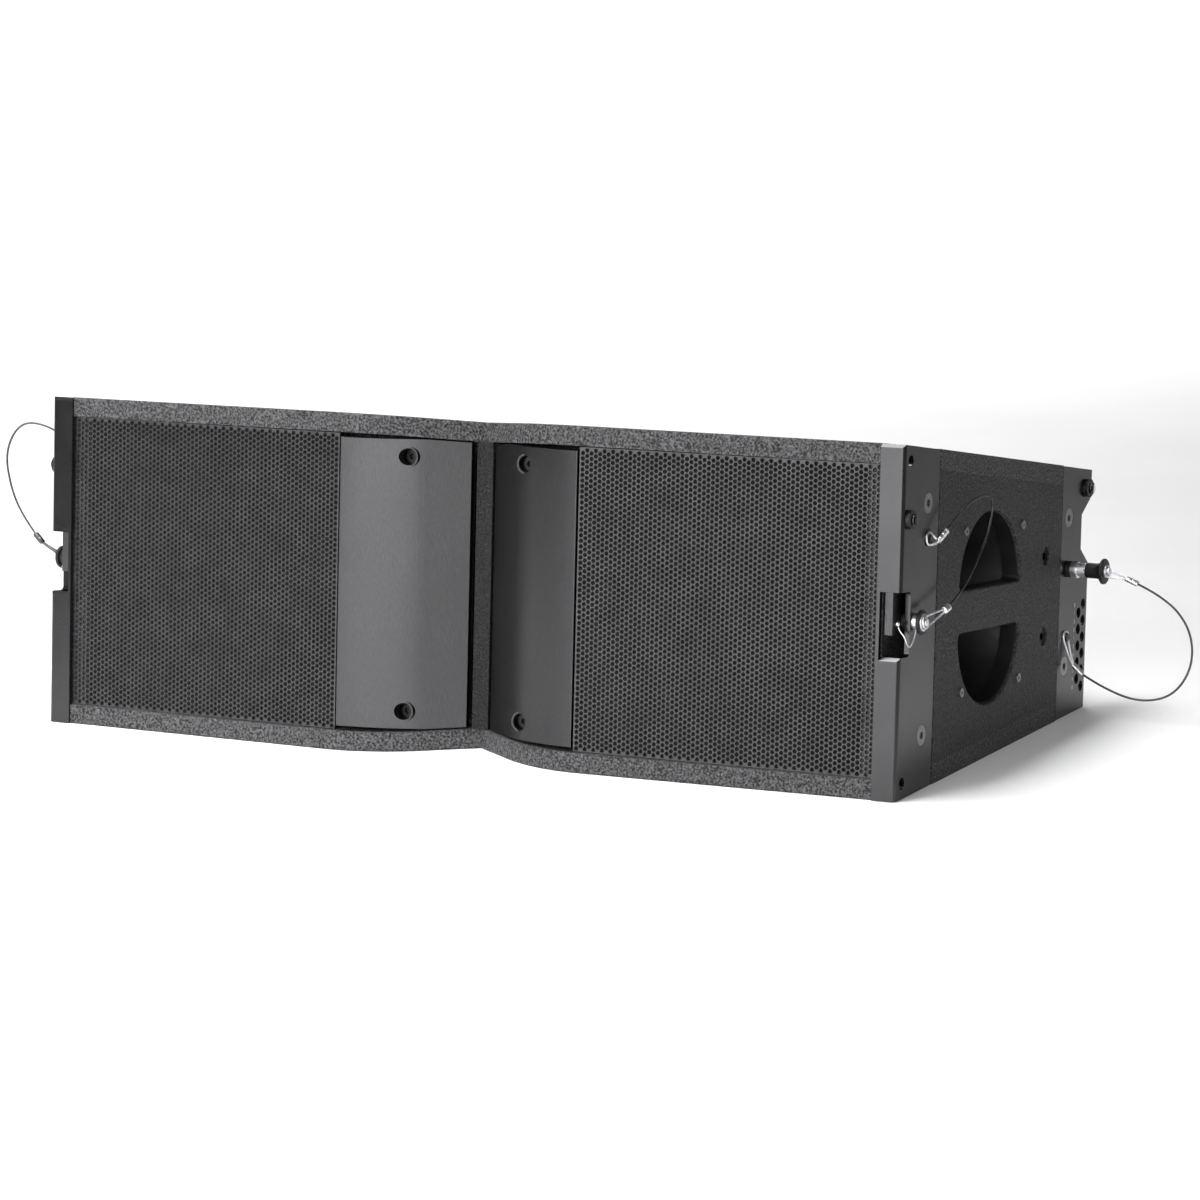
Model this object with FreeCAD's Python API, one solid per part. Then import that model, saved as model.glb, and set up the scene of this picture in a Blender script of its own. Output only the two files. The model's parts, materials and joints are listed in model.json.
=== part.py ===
import FreeCAD, Part
import math
import os

# Line array speaker: a wedge-shaped cabinet with two 8 inch woofers, two high-frequency slots
# in a V-shaped front, and steel rigging on its four upright edges.
#
# It is drawn upright, as it hangs in an array: x to its right as seen from the front, turned
# so that the front faces -y, z up from mid height, with the front rails' faces at y = 0.
# stand() then lays it on its sloping bottom, which is how it stands on a table: the origin
# is the middle of the bottom, +z is up and the front faces -y. Lengths are millimetres.

V = FreeCAD.Vector

# ---- cabinet ---------------------------------------------------------------------------------
WIDTH = 740.0             # over the rails
DEPTH = 355.0             # rail face to rear edge of the rigging plates
HEIGHT = 260.0            # at the rails' faces
TAPER = math.radians(5.85)  # slope of the top and of the bottom towards the rear
PLY = 15.0
EDGE_R = 1.8              # the plywood's edges are rounded over before painting
BACK_Y = 325.0            # outside of the rear panel
SIDE = WIDTH / 2
HALF = HEIGHT / 2
CHEEK_X = 353.0           # the cabinet is narrower than SIDE where the rigging bars run
SIDE_START_Y = 64.0       # textured side face, from here
SIDE_END_Y = 297.0        # to here
SIDE_FRONT_Y = 7.2        # the side panel's front edge, behind the rail and the grille
REACH = 420.0             # longer than anything, for cutting tools

# ---- front outline in plan: a nearly flat wing, a round lobe, a straight flank to the middle --
WING_TILT = math.radians(1.08)
FLANK_ANGLE = math.radians(34.0)
LOBE_RADIUS = 127.0
LOBE_EDGE_X = 112.0       # where the wing meets the lobe
LOBE_EDGE_Y = -3.0
LOBE_X = LOBE_EDGE_X - LOBE_RADIUS * math.sin(WING_TILT)
LOBE_Y = LOBE_EDGE_Y + LOBE_RADIUS * math.cos(WING_TILT)

# ---- front rails, rear plates and what is fastened to them -------------------------------------
STEEL = 4.0
RAIL_FACE = 19.0          # width of the rail's front face
RAIL_SIDE = 62.0          # depth of its side
RAIL_BEND = 3.5
NOTCH_X = 353.5
NOTCH_Y = 17.5
NOTCH_LOW = -25.0
NOTCH_HIGH = 22.5
LIP = 2.6                 # bevel on the notch's lower edge and on the rail's top edge
PLATE_START_Y = 297.4
SCREW_FRONT = (44.0, 85.0)      # countersunk rigging screws, (y, +-z)
SCREW_REAR = (311.6, 58.0)
SIDE_BOLT = (267.0, 31.0)
LINK_HOLE = (11.0, 117.0)       # holes for the next box's front link
FRONT_SOCKET = (10.5, 75.0)
REAR_SOCKET = (345.5, 79.5)
FRONT_PIN = (25.0, 0.0)
REAR_PIN = (313.5, 18.0)
ANCHOR_FRONT = (44.6, 59.0)
ANCHOR_REAR = (310.2, -35.0)
SPLAY_PITCH = 13.0
SPLAY_TOP_Z = -11.5
SPLAY_COLUMNS = ((345.5, 0.0, 6), (336.8, 6.5, 5))   # y, drop of the first hole, count
SPLAY_R = 4.1

# ---- pins and the bars that they hold ----------------------------------------------------------
PIN_R = 4.0
PIN_FIT = 0.08
PIN_LENGTH = 25.0         # shaft of a front pin, from its head to its tip
REAR_PIN_LENGTH = 19.5
BAR_IN = 356.0            # the rigging bars lie between these x
BAR_OUT = 362.0
BUTTON_R = 3.0
BUTTON_FIT = 0.1

# ---- lanyards ----------------------------------------------------------------------------------
WIRE = 1.8
FERRULE_R = 2.3
EYE_R = 4.6               # from the middle of the eye to the middle of its wire
ANCHOR_HEAD_R = 3.1
CRIMP_GAP = 0.3           # between a pin's ferrule and the end of its lanyard

# ---- handle -------------------------------------------------------------------------------------
HANDLE_Y = 162.0
HANDLE_R = 57.0
BRIDGE = 32.0
CUP_DEPTH = 46.0
CUP_WALL = 3.0
HANDLE_SCREWS = ((112.0, 60.0), (219.0, 58.5))

# ---- drivers -------------------------------------------------------------------------------------
WOOFER_X = 226.0
BAFFLE_Y = 28.0
THROAT_X = 58.0
THROAT_Y = 172.0


# ================================ shapes from sections ==========================================
def spot(a, b, axis, level):
    """The point with section coordinates a, b at a level along an axis."""
    if axis == "x":
        return V(level, a, b)
    if axis == "y":
        return V(a, level, b)
    return V(a, b, level)


def prism(points, axis, start, end):
    """Solid with a polygon as its section, drawn along an axis."""
    corners = [spot(a, b, axis, start) for a, b in points]
    face = Part.Face(Part.makePolygon(corners + corners[:1]))
    return face.extrude(spot(0, 0, axis, end - start))


def block(x0, x1, y0, y1, z0, z1):
    return Part.makeBox(x1 - x0, y1 - y0, z1 - z0, V(x0, y0, z0))


def rod(axis, a, b, start, end, radius):
    """Cylinder along an axis."""
    return Part.makeCylinder(radius, end - start, spot(a, b, axis, start), spot(0, 0, axis, 1))


def tube(axis, a, b, start, end, radius, bore):
    over = 0.5
    return rod(axis, a, b, start, end, radius).cut(rod(axis, a, b, start - over, end + over, bore))


def taper_rod(axis, a, b, start, end, radius_start, radius_end):
    """Cone frustum along an axis."""
    place = spot(a, b, axis, start)
    return Part.makeCone(radius_start, radius_end, end - start, place, spot(0, 0, axis, 1))


def between_points(start, end, radius):
    """Cylinder from one point to another."""
    return Part.makeCylinder(radius, start.distanceToPoint(end), start, end - start)


def fuse(solids):
    whole = solids[0]
    for solid in solids[1:]:
        whole = whole.fuse(solid)
    return whole.removeSplitter()


def cut_all(shape, tools):
    for tool in tools:
        shape = shape.cut(tool)
    return shape


def mirror_x(shape):
    return shape.mirror(V(0, 0, 0), V(1, 0, 0))


def mirror_z(shape):
    return shape.mirror(V(0, 0, 0), V(0, 0, 1))


def up_and_down(shape):
    return [shape, mirror_z(shape)]


def both_sides(solids):
    return solids + [mirror_x(s) for s in solids]


# ================================ the cabinet's own surfaces ====================================
def panel_z(y, inset=0.0):
    """Half height at depth y, less an inset measured square to the sloping panel."""
    return HALF - y * math.tan(TAPER) - inset / math.cos(TAPER)


def wedge(inset):
    """The whole space between the top and the bottom, both moved in by inset."""
    front = -20.0
    rear = DEPTH + 20.0
    points = [(front, -panel_z(front, inset)), (rear, -panel_z(rear, inset)),
              (rear, panel_z(rear, inset)), (front, panel_z(front, inset))]
    return prism(points, "x", -REACH, REACH)


def front_joints(inset):
    """The two x at which the outline's lobe meets the flank and the wing."""
    radius = LOBE_RADIUS - inset
    return (LOBE_X - radius * math.sin(FLANK_ANGLE), LOBE_X + radius * math.sin(WING_TILT))


def front_y(x, inset=0.0):
    """Depth of the front outline at x, moved inset mm into the cabinet."""
    radius = LOBE_RADIUS - inset
    flank_x, wing_x = front_joints(inset)
    if x > wing_x:
        return LOBE_Y - radius * math.cos(WING_TILT) + (x - wing_x) * math.tan(WING_TILT)
    if x < flank_x:
        return LOBE_Y - radius * math.cos(FLANK_ANGLE) + (flank_x - x) * math.tan(FLANK_ANGLE)
    return LOBE_Y - math.sqrt(radius ** 2 - (x - LOBE_X) ** 2)


def front_edges(x0, x1, inset):
    """Edges of the front outline from x0 out to x1, on the right half."""
    flank_x, wing_x = front_joints(inset)
    stops = [x0] + [x for x in (flank_x, wing_x) if x0 < x < x1] + [x1]
    edges = []
    for a, b in zip(stops, stops[1:]):
        middle = (a + b) / 2
        ends = [V(x, front_y(x, inset), 0) for x in (a, middle, b)]
        if flank_x < middle < wing_x:
            edges.append(Part.Arc(*ends).toShape())
        else:
            edges.append(Part.LineSegment(ends[0], ends[2]).toShape())
    return edges


def run_of_lines(points):
    corners = [V(x, y, 0) for x, y in points]
    return [Part.LineSegment(a, b).toShape() for a, b in zip(corners, corners[1:])]


def plan_solid(edges, z0, z1):
    """Solid over a closed outline in plan."""
    face = Part.Face(Part.Wire(Part.__sortEdges__(edges)))
    face.translate(V(0, 0, z0))
    return face.extrude(V(0, 0, z1 - z0))


# ================================ panels ========================================================
def top_panel():
    face_x = SIDE - RAIL_FACE - 0.3
    start = (face_x, front_y(face_x))
    behind_rail = STEEL + 0.5
    outline = front_edges(0, face_x, 0) + run_of_lines([
        start, (face_x, behind_rail), (CHEEK_X, behind_rail), (CHEEK_X, SIDE_START_Y),
        (SIDE, SIDE_START_Y), (SIDE, SIDE_END_Y), (CHEEK_X, SIDE_END_Y), (CHEEK_X, BACK_Y),
        (0, BACK_Y), (0, front_y(0))])
    half = plan_solid(outline, 0, HEIGHT).common(wedge(0)).cut(wedge(PLY))
    front = [e for e in half.Edges if e.BoundBox.YMax < 50 and e.BoundBox.XLength > 5
             and all(abs(v.Z - panel_z(v.Y)) < 0.01 for v in e.Vertexes)
             and all(abs(v.Y - front_y(v.X)) < 0.01 for v in e.Vertexes)]
    half = half.makeFillet(EDGE_R, front)
    return fuse([half, mirror_x(half)])


def half_round(radius, x0, x1):
    """The upper handle pocket's shape: a half disc on the bridge, its two corners rounded."""
    level = BRIDGE / 2
    disc = rod("x", HANDLE_Y, level, x0, x1, radius)
    disc = disc.cut(block(x0 - 1, x1 + 1, 0, DEPTH, -HALF, level))
    corners = [e for e in disc.Edges
               if abs(e.BoundBox.XLength - (x1 - x0)) < 0.01 and e.BoundBox.ZMax < level + 0.01
               and e.BoundBox.YLength < 0.01]
    return disc.makeFillet(5.0, corners)


def side_panel():
    inner = SIDE - 2 * PLY - 2
    outline = [(inner, SIDE_FRONT_Y), (CHEEK_X, SIDE_FRONT_Y), (CHEEK_X, SIDE_START_Y),
               (SIDE, SIDE_START_Y), (SIDE, SIDE_END_Y), (CHEEK_X, SIDE_END_Y), (CHEEK_X, BACK_Y),
               (inner, BACK_Y), (inner, SIDE_END_Y - PLY), (SIDE - PLY, SIDE_END_Y - PLY),
               (SIDE - PLY, SIDE_START_Y + PLY), (inner, SIDE_START_Y + PLY)]
    panel = prism(outline, "z", -HALF, HALF).common(wedge(PLY))
    panel = cut_all(panel, up_and_down(half_round(HANDLE_R, SIDE - PLY - 1, SIDE + 1)))
    rims = [e for e in panel.Edges
            if all(abs(v.X - SIDE) < 0.01 and abs(v.Y - HANDLE_Y) < HANDLE_R + 1
                   and abs(v.Z) < BRIDGE / 2 + HANDLE_R + 1 for v in e.Vertexes)]
    panel = panel.makeFillet(EDGE_R, rims)
    tools = [rod("x", *FRONT_PIN, SIDE - PIN_LENGTH - 2, CHEEK_X + 1, PIN_R + 3)]
    for y, z in (SCREW_FRONT, SCREW_REAR):
        tools += up_and_down(rod("x", y, z, inner - 1, CHEEK_X + 1, 4.0))
    tools += up_and_down(rod("x", *SIDE_BOLT, SIDE - PLY - 1, SIDE + 1, 4.0))
    tools += up_and_down(rod("x", *SIDE_BOLT, SIDE - 7, SIDE + 1, 7.2))
    for y, z in HANDLE_SCREWS:
        tools += up_and_down(rod("x", y, z, SIDE - PLY - 1, SIDE + 1, 1.9))
    return cut_all(panel, tools)


def rear_panel():
    reach = SIDE - 2 * PLY - 2
    panel = block(-reach, reach, BACK_Y - PLY, BACK_Y, -HALF, HALF).common(wedge(PLY))
    tools = both_sides([rod("y", 28, 0, BACK_Y - PLY - 1, BACK_Y + 1, 14)])
    for x in (-72, 72):
        tools += [rod("y", x, z, BACK_Y - PLY - 1, BACK_Y + 1, 1.9) for z in (-34, 34)]
    return cut_all(panel, tools)


def baffle_blank():
    outer = SIDE - 2 * PLY - 2.1
    outline = [(outer, BAFFLE_Y), (96, BAFFLE_Y), (14, 60.5), (14, 80), (100, BAFFLE_Y + PLY),
               (outer, BAFFLE_Y + PLY)]
    return prism(outline, "z", -HALF, HALF).common(wedge(PLY))


def baffle():
    tools = [rod("y", WOOFER_X, 0, 0, 90, 91)]
    tools += [rod("y", PLATE_SCREW[0], s * PLATE_SCREW[1], 0, 90, 2.6) for s in (-1, 1)]
    tools += [rod("y", x, z, 20, 60, 2.3) for x, z in woofer_screw_places()]
    return cut_all(baffle_blank(), tools)


def centre_post():
    """Post between the two high-frequency slots, with a wider face between the curved plates."""
    face_y = 43.0
    neck_y = 49.6
    post = fuse([block(-7, 7, face_y, neck_y, -HALF, HALF), block(-5, 5, neck_y, 80, -HALF, HALF)])
    return post.common(wedge(PLY))


def brace():
    sheet = block(106, 118, BAFFLE_Y + PLY, BACK_Y - PLY, -HALF, HALF).common(wedge(PLY))
    return sheet.cut(block(100, 120, 90, 270, -50, 50))


def damping_pad():
    return block(125, 330, BACK_Y - PLY - 13, BACK_Y - PLY, -60, 60)


# ================================ front trim ====================================================
GRILLE_IN = 104.5
GRILLE_OUT = SIDE - RAIL_FACE - 0.5
GRILLE_INSET = 4.0
GRILLE_SHEET = 1.2
PLATE_IN = 10.4
PLATE_OUT = 103.2
PLATE_INSET = 2.5
PLATE_SHEET = 3.0
PLATE_HALF = 111.8
PLATE_EDGE_R = 0.8
PLATE_SCREW = (51.2, 97.8)


def wing_sheet(x0, x1, inset, thickness):
    """Flat sheet that follows the wing of the front, between the top and the bottom."""
    near, far = [LOBE_EDGE_Y + (x - LOBE_EDGE_X) * math.tan(WING_TILT) + inset for x in (x0, x1)]
    points = [(x0, near), (x1, far), (x1, far + thickness), (x0, near + thickness)]
    return prism(points, "z", -HALF, HALF).common(wedge(PLY + 0.4))


def centre_plate():
    """Curved plate with two screw cups that stand on the baffle."""
    front = front_edges(PLATE_IN, PLATE_OUT, PLATE_INSET)
    back = front_edges(PLATE_IN, PLATE_OUT, PLATE_INSET + PLATE_SHEET)
    ends = []
    for x in (PLATE_IN, PLATE_OUT):
        ends += run_of_lines([(x, front_y(x, PLATE_INSET)),
                              (x, front_y(x, PLATE_INSET + PLATE_SHEET))])
    plate = plan_solid(front + back + ends, -PLATE_HALF, PLATE_HALF).common(wedge(PLY + 0.8))
    outside = [e for e in plate.Edges
               if all(abs(v.Y - front_y(v.X, PLATE_INSET)) < 0.01 for v in e.Vertexes)
               and (e.BoundBox.ZLength < 5 or e.BoundBox.XLength < 0.01)]
    plate = plate.makeFillet(PLATE_EDGE_R, outside)
    x, z = PLATE_SCREW
    start = front_y(x, PLATE_INSET) + 1
    cups = up_and_down(rod("y", x, z, start, 60, 8).cut(baffle_blank()))
    cups = [c.common(block(0, 110, 0, 52, -HALF, HALF)) for c in cups]
    bores = up_and_down(rod("y", x, z, -3, 24, 6.5)) + up_and_down(rod("y", x, z, 0, 70, 2.6))
    return cut_all(fuse([plate] + cups), bores)


def hexagon(axis, a, b, start, end, across):
    radius = across / math.sqrt(3)
    points = []
    for i in range(6):
        turn = math.radians(60 * i + 30)
        points.append((a + radius * math.cos(turn), b + radius * math.sin(turn)))
    return prism(points, axis, start, end)


def plate_screws():
    """Cap screws at the bottom of the plate's cups, and the input plate's four screws."""
    x, z = PLATE_SCREW
    head = rod("y", x, z, 20.5, 24, 5.2).cut(hexagon("y", x, z, 20, 23, 4.5))
    screw = fuse([head, rod("y", x, z, 24, 62, 2.5)])
    small = []
    for sx in (-72, 72):
        for sz in (-34, 34):
            small.append(fuse([rod("y", sx, sz, BACK_Y + 2, BACK_Y + 4, 3.2),
                               rod("y", sx, sz, BACK_Y - 12, BACK_Y + 2, 1.8)]))
    return both_sides(up_and_down(screw)) + small


# ================================ rigging =======================================================
def front_rail():
    outline = [(SIDE - RAIL_FACE, 0), (SIDE, 0), (SIDE, RAIL_SIDE), (SIDE - STEEL, RAIL_SIDE),
               (SIDE - STEEL, STEEL), (SIDE - RAIL_FACE, STEEL)]
    rail = prism(outline, "z", -HALF, HALF)
    bend = [e for e in rail.Edges
            if e.BoundBox.ZLength > HEIGHT - 1 and e.BoundBox.XMin > SIDE - 0.1
            and e.BoundBox.YMax < 0.1]
    rail = rail.makeFillet(RAIL_BEND, bend).common(wedge(0.4))
    notch = block(NOTCH_X, SIDE + 1, -1, NOTCH_Y, NOTCH_LOW, NOTCH_HIGH)
    rear_edges = [e for e in notch.Edges
                  if e.BoundBox.XLength > 10 and e.BoundBox.YMin > NOTCH_Y - 0.1]
    notch = notch.makeFillet(3.0, rear_edges)
    top = HALF - 0.4
    bevels = [prism([(-1, z + 1), (-1, z - LIP), (0, z - LIP), (LIP, z + 0.02), (LIP, z + 1)], "x",
                    x, SIDE + 1) for x, z in ((NOTCH_X, NOTCH_LOW), (SIDE - RAIL_FACE - 1, top))]
    tools = [notch] + bevels
    tools += up_and_down(rod("x", *LINK_HOLE, SIDE - 10, SIDE + 1, 4.5))
    tools.append(rod("x", *FRONT_PIN, SIDE - 10, SIDE + 1, 6.5))
    tools.append(rod("x", *FRONT_SOCKET, SIDE - 10, SIDE + 1, 6.0))
    tools.append(rod("x", *ANCHOR_FRONT, SIDE - 10, SIDE + 1, 2.0))
    tools += screw_hole(SCREW_FRONT)
    return cut_all(rail, tools)


def screw_hole(place):
    """Countersunk hole in the rail's side or in the rear plate, at +z and at -z."""
    hole = fuse([rod("x", *place, SIDE - 10, SIDE + 1, 4.1),
                 taper_rod("x", *place, SIDE - 3.6, SIDE, 4.1, 7.7)])
    return up_and_down(hole)


def splay_holes():
    holes = []
    for y, drop, count in SPLAY_COLUMNS:
        for i in range(count):
            z = SPLAY_TOP_Z - drop - i * SPLAY_PITCH
            holes.append(rod("x", y, z, SIDE - 10, SIDE + 1, SPLAY_R))
    return holes


def rear_plate():
    upper = DEPTH
    waist = 337.0
    lower = 352.5
    outline = [(PLATE_START_Y, -HALF), (lower, -HALF), (lower, 20.5), (waist, 32), (waist, 59),
               (upper, 72), (upper, HALF), (PLATE_START_Y, HALF)]
    plate = prism(outline, "x", SIDE - STEEL, SIDE).common(wedge(0.4))
    tools = screw_hole(SCREW_REAR) + splay_holes()
    tools.append(rod("x", *REAR_PIN, SIDE - 10, SIDE + 1, 6.0))
    tools.append(rod("x", *REAR_SOCKET, SIDE - 10, SIDE + 1, 6.0))
    tools.append(rod("x", *ANCHOR_REAR, SIDE - 10, SIDE + 1, 2.0))
    return cut_all(plate, tools)


def rigging_screws():
    """M8 countersunk screws through rail, plate and spacers, and the recessed side bolts."""
    solids = []
    for place in (SCREW_FRONT, SCREW_REAR):
        head = taper_rod("x", *place, SIDE - 3.5, SIDE - 0.1, 4.0, 7.5)
        head = head.cut(hexagon("x", *place, SIDE - 3, SIDE, 5))
        shank = rod("x", *place, SIDE - 30, SIDE - 3.5, 3.9)
        solids += up_and_down(fuse([head, shank]))
    head = rod("x", *SIDE_BOLT, SIDE - 7, SIDE - 1.5, 6.5)
    head = head.cut(hexagon("x", *SIDE_BOLT, SIDE - 5, SIDE, 6))
    shank = rod("x", *SIDE_BOLT, SIDE - 24, SIDE - 7, 3.9)
    solids += up_and_down(fuse([head, shank]))
    return both_sides(solids)


def rigging_spacers():
    solids = []
    for place in (SCREW_FRONT, SCREW_REAR):
        solids += up_and_down(tube("x", *place, CHEEK_X, SIDE - STEEL, 7, 4.2))
    return both_sides(solids)


def bush(place, inner, outer, head, body_r, head_r, bore):
    """Round bush: a body in the steel, a head that stands out of it, and a bore."""
    solid = fuse([rod("x", *place, inner, SIDE, body_r), rod("x", *place, SIDE, outer, head_r)])
    return solid.cut(rod("x", *place, inner - 1, head, bore))


def pin_bushes():
    """Black bushes for the pins, the two parking sockets, and the lanyards' anchor screws."""
    bore = PIN_R + PIN_FIT
    solids = [rod("x", *FRONT_PIN, BAR_OUT + 0.6, SIDE, 6.5)
              .cut(rod("x", *FRONT_PIN, BAR_OUT, SIDE + 1, bore)),
              bush(REAR_PIN, BAR_OUT + 0.6, SIDE + 3, SIDE + 4, 6.0, 6.4, bore)]
    for place in (FRONT_SOCKET, REAR_SOCKET):
        solids.append(bush(place, BAR_OUT + 1, SIDE + 3.2, SIDE + 5, 6.0, 7.0, 4.1))
    for place in (ANCHOR_FRONT, ANCHOR_REAR):
        solids.append(fuse([rod("x", *place, SIDE - 10, SIDE, 2.0),
                            rod("x", *place, SIDE, SIDE + 2.8, ANCHOR_HEAD_R)]))
    return both_sides(solids)


def link_guides():
    """Nylon pads on both faces of each bar, and the stop that the rear arm stands on."""
    gap = 0.3
    spans = [(5, 19, 50, 62), (5, 19, 90, 102), (321, 333, 34, 48), (321, 333, 62, 76)]
    solids = []
    for y0, y1, z0, z1 in spans:
        solids.append(block(CHEEK_X, BAR_IN - gap, y0, y1, z0, z1))
        solids.append(block(BAR_OUT + gap, SIDE - STEEL, y0, y1, z0, z1))
    solids.append(block(CHEEK_X, SIDE - STEEL, 320, 334, ARM_LOW - 12, ARM_LOW - gap))
    return both_sides(solids)


# ================================ moving rigging ================================================
ARM_LOW = -44.0


def front_link():
    """Bar that slides up out of the rail, and the lug that hangs it above the front pin."""
    y, z = FRONT_PIN
    foot = z - 9
    lug = z + PIN_R + 0.5
    back = 19.4
    outline = [(4.4, foot), (back - 4, foot), (back, foot + 4), (back, 82), (back - 4, 86),
               (8.4, 86), (4.4, 82)]
    bar = prism(outline, "x", BAR_IN, BAR_OUT)
    bar = bar.cut(rod("x", *FRONT_SOCKET, BAR_IN - 1, BAR_OUT + 1, 4.1))
    ledge = [(back, lug), (y + 8, lug), (y + 8, lug + 6), (back, lug + 12)]
    return [bar, prism(ledge, "x", BAR_IN, BAR_OUT)]


def rear_arm():
    """Bar with a hooked head that slides up, to be pinned in the next box's splay holes."""
    outline = [(320, ARM_LOW), (334, ARM_LOW), (334, 68), (338, 72), (352, 72), (352, 86),
               (348, 90), (320, 90)]
    bar = prism(outline, "x", BAR_IN, BAR_OUT)
    return bar.cut(rod("x", *REAR_SOCKET, BAR_IN - 1, BAR_OUT + 1, 4.1))


def wire_eye(centre, near, far):
    """Loop of wire round a stud that points along x, its two legs crimped in a ferrule."""
    ring = Part.makeTorus(EYE_R, WIRE / 2, centre, V(1, 0, 0))
    aim = V(0, near.y - centre.y, near.z - centre.z)
    aim.normalize()
    across = V(0, -aim.z, aim.y) * (EYE_R - 0.3)
    pull = (far - near).normalize() * 1.5
    legs = [between_points(centre + across * s + aim * 0.8, near + across * s * 0.33 + pull, WIRE / 2)
            for s in (-1, 1)]
    return fuse([ring, between_points(near, far, FERRULE_R)] + legs)


def pin_shaft(place, head_x, length):
    """The shaft with a bevelled tip, up to where its head starts."""
    tip = head_x - length
    return fuse([taper_rod("x", *place, tip, tip + 2, PIN_R - 1.2, PIN_R),
                 rod("x", *place, tip + 2, head_x, PIN_R)])


def front_pin():
    """Short-headed pin: steel, black rim, button."""
    start = SIDE + 0.2
    face = SIDE + 9.8
    steel = fuse([pin_shaft(FRONT_PIN, start, PIN_LENGTH),
                  rod("x", *FRONT_PIN, start, face, 7.0)])
    steel = steel.cut(rod("x", *FRONT_PIN, face - 6, face + 1, BUTTON_R + BUTTON_FIT))
    rim = tube("x", *FRONT_PIN, face - 3.3, face - 0.8, 9.0, 7.0)
    button = rod("x", *FRONT_PIN, face - 3, face + 2.5, BUTTON_R)
    return steel, rim, button, face


def rear_pin():
    """Long-headed pin, parked in its bush: collar and neck of steel, black grip and flange."""
    start = SIDE + 3.1
    face = SIDE + 31.0
    collar = start + 5.5
    neck = start + 12.4
    steel = fuse([pin_shaft(REAR_PIN, start, REAR_PIN_LENGTH),
                  rod("x", *REAR_PIN, start, collar, 6.5),
                  rod("x", *REAR_PIN, collar, neck, 5.5),
                  rod("x", *REAR_PIN, neck, face, 4.2)])
    steel = steel.cut(rod("x", *REAR_PIN, face - 8, face + 1, BUTTON_R + BUTTON_FIT))
    grip = fuse([rod("x", *REAR_PIN, neck, face - 2.5, 6.0),
                 rod("x", *REAR_PIN, face - 2.5, face, 10.0)])
    grip = grip.cut(rod("x", *REAR_PIN, neck - 1, face + 1, 4.2))
    button = rod("x", *REAR_PIN, face - 4, face + 4, BUTTON_R)
    return steel, grip, button, face


# ================================ lanyards ======================================================
# Each route is a list of points chosen by hand, from the fixed ferrule to the pin's ferrule.
# A point is x out from the middle of the cabinet, y, z.
ROUTES = {
    "front_left": {
        "anchor": ANCHOR_FRONT, "pin": FRONT_PIN, "fixed": V(374, 45.5, 66),
        "points": [V(378, 47, 77), V(383, 46, 88), V(399, 39, 103), V(424, 33, 106),
                   V(437, 30, 81), V(430, 30, 50), V(417, 29, 29), V(404.5, 28, 16.5)],
        "free": V(397, 27, 10)},
    "front_right": {
        "anchor": ANCHOR_FRONT, "pin": FRONT_PIN, "fixed": V(375, 51, 57),
        "points": [V(378, 60, 65), V(381, 82, 80), V(382, 112, 88), V(382, 135, 85),
                   V(381, 132, 62), V(380, 112, 38), V(381, 84, 18), V(383, 56, 9.5)],
        "free": V(384, 46, 7.5)},
    "rear_right": {
        "anchor": ANCHOR_REAR, "pin": REAR_PIN, "fixed": V(376, 313.5, -56),
        "points": [V(383.4, 317, -64), V(403, 319, -75), V(432, 320, -82.5), V(459, 320, -75),
                   V(473.5, 320, -50), V(470, 320, -22), V(450, 319, 0), V(427, 317, 9.5)],
        "free": V(417, 316, 13.5)},
}


def flip(point, side):
    return V(point.x * side, point.y, point.z)


def cord_tube(name, points):
    """Tube along straight runs joined by tangent arcs, as large as the runs allow."""
    edges = []
    at = points[0]
    radii = []
    for before, corner, after in zip(points, points[1:], points[2:]):
        back = (before - corner).normalize()
        ahead = (after - corner).normalize()
        half_turn = (math.pi - back.getAngle(ahead)) / 2
        reach = 0.45 * min(corner.distanceToPoint(before), corner.distanceToPoint(after))
        radii.append(reach / math.tan(half_turn))
        start = corner + back * reach
        end = corner + ahead * reach
        bisector = (back + ahead).normalize()
        middle = corner + bisector * (radii[-1] * (1 / math.cos(half_turn) - 1))
        edges.append(Part.LineSegment(at, start).toShape())
        edges.append(Part.Arc(start, middle, end).toShape())
        at = end
    edges.append(Part.LineSegment(at, points[-1]).toShape())
    path = Part.Wire(edges)
    section = Part.Wire(Part.makeCircle(WIRE / 2, points[0], points[1] - points[0]))
    solid = path.makePipeShell([section], True, False)
    ideal = math.pi * (WIRE / 2) ** 2 * path.Length
    print(name, "length %.1f" % path.Length, "volume/ideal %.4f" % (solid.Volume / ideal),
          "radii", [round(r, 1) for r in radii])
    return solid


def lanyard(name, route, pin_face):
    """Fixed eye, tube and the pin's eye of one lanyard."""
    side = -1 if name.endswith("left") else 1
    anchor = V(SIDE + 1.0, *route["anchor"])
    on_pin = V(pin_face + 1.0, *route["pin"])
    points = route["points"]
    fixed = wire_eye(flip(anchor, side), flip(route["fixed"], side), flip(points[0], side))
    stop = points[-1] + (route["free"] - points[-1]).normalize() * CRIMP_GAP
    free = wire_eye(flip(on_pin, side), flip(route["free"], side), flip(stop, side))
    return fixed, cord_tube("lanyard_" + name, [flip(p, side) for p in points]), free


# ================================ handles =======================================================
def stadium(x, radius):
    """Closed outline at x: two half circles, one round each handle pocket."""
    level = BRIDGE / 2
    low = HANDLE_Y - radius
    high = HANDLE_Y + radius
    edges = [Part.Arc(V(x, low, level), V(x, HANDLE_Y, level + radius),
                      V(x, high, level)).toShape(),
             Part.LineSegment(V(x, high, level), V(x, high, -level)).toShape(),
             Part.Arc(V(x, high, -level), V(x, HANDLE_Y, -level - radius),
                      V(x, low, -level)).toShape(),
             Part.LineSegment(V(x, low, -level), V(x, low, level)).toShape()]
    return Part.Wire(edges)


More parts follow.
